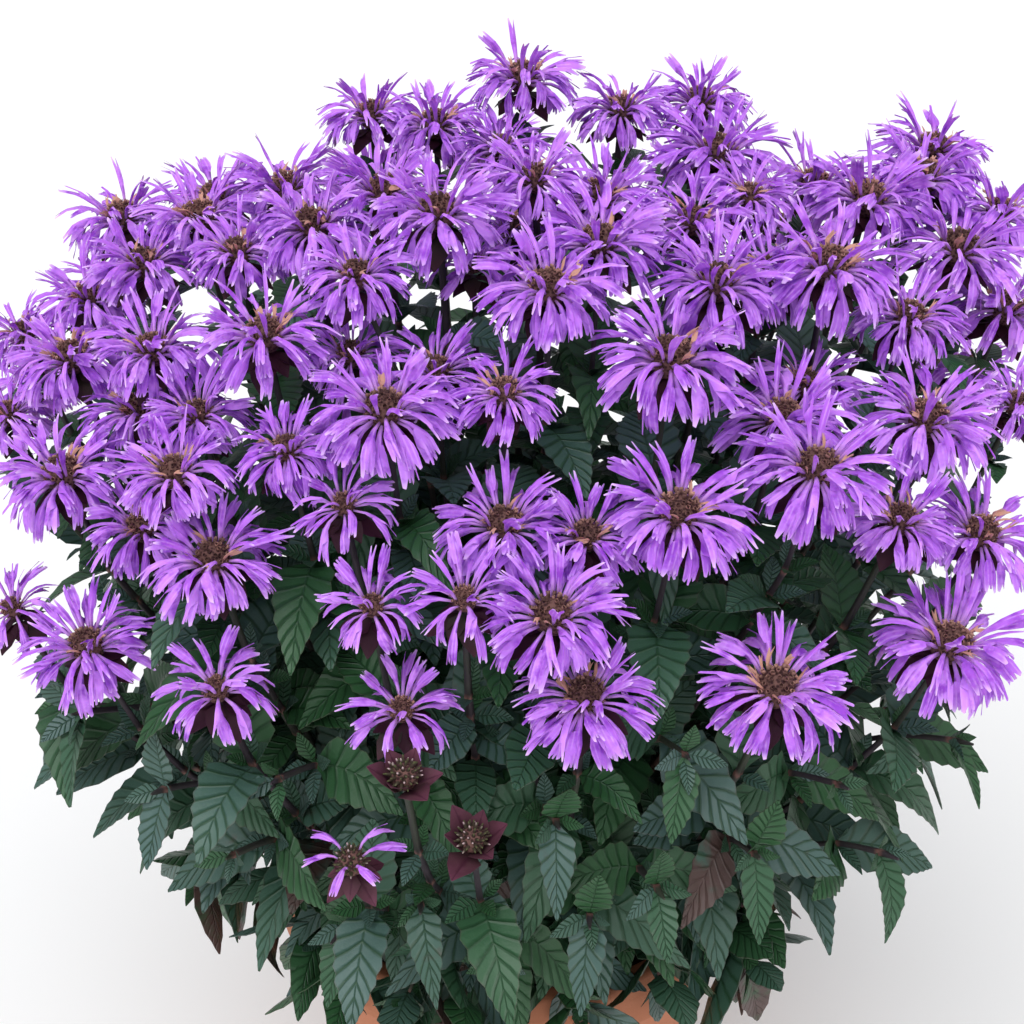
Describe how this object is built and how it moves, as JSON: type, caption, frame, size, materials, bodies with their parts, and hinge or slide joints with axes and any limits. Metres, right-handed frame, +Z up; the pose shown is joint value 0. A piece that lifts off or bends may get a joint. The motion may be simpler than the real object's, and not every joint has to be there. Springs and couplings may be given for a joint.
{
  "type": "potted bee balm plant",
  "caption": "Domed clump of square-stemmed herb with toothed leaves and shaggy tubular flower heads, growing in a round tapered pot with a rim band.",
  "frame": {"origin": "centre of the pot's underside, where it stands", "axes": "+Z up through the middle of the pot and the clump; the clump's front, as the picture shows it, faces -Y; +X is to the right of that view"},
  "size_m": [0.6403, 0.5669, 0.7352],
  "materials": {
    "clay": "plain unglazed fired clay",
    "soil": null,
    "foliage": null,
    "petals": null
  },
  "bodies": {
    "root": {"pot": "clay", "soil": "soil", "leafy_stems_01": "foliage", "leafy_stems_02": "foliage", "leafy_stems_03": "foliage", "leafy_stems_04": "foliage", "leafy_stems_05": "foliage", "leafy_stems_06": "foliage", "leafy_stems_07": "foliage", "leafy_stems_08": "foliage", "leafy_stems_09": "foliage", "leafy_stems_10": "foliage", "leafy_stems_11": "foliage", "leafy_stems_12": "foliage", "leafy_stems_13": "foliage", "blooms_01": "petals", "blooms_02": "petals", "blooms_03": "petals", "blooms_04": "petals", "blooms_05": "petals", "blooms_06": "petals", "blooms_07": "petals", "blooms_08": "petals", "blooms_09": "petals", "blooms_10": "petals", "blooms_11": "petals", "blooms_12": "petals", "blooms_13": "petals", "blooms_14": "petals", "blooms_15": "petals", "blooms_16": "petals", "blooms_17": "petals", "blooms_18": "petals", "blooms_19": "petals", "blooms_20": "petals", "blooms_21": "petals", "blooms_22": "petals", "blooms_23": "petals", "blooms_24": "petals", "blooms_25": "petals", "blooms_26": "petals", "blooms_27": "petals", "blooms_28": "petals", "blooms_29": "petals", "blooms_30": "petals", "blooms_31": "petals", "blooms_32": "petals", "blooms_33": "petals", "blooms_34": "petals", "blooms_35": "petals", "blooms_36": "petals", "blooms_37": "petals", "blooms_38": "petals", "blooms_39": "petals", "blooms_40": "petals", "blooms_41": "petals", "blooms_42": "petals", "blooms_43": "petals", "blooms_44": "petals", "blooms_45": "petals"}
  },
  "joints": []
}
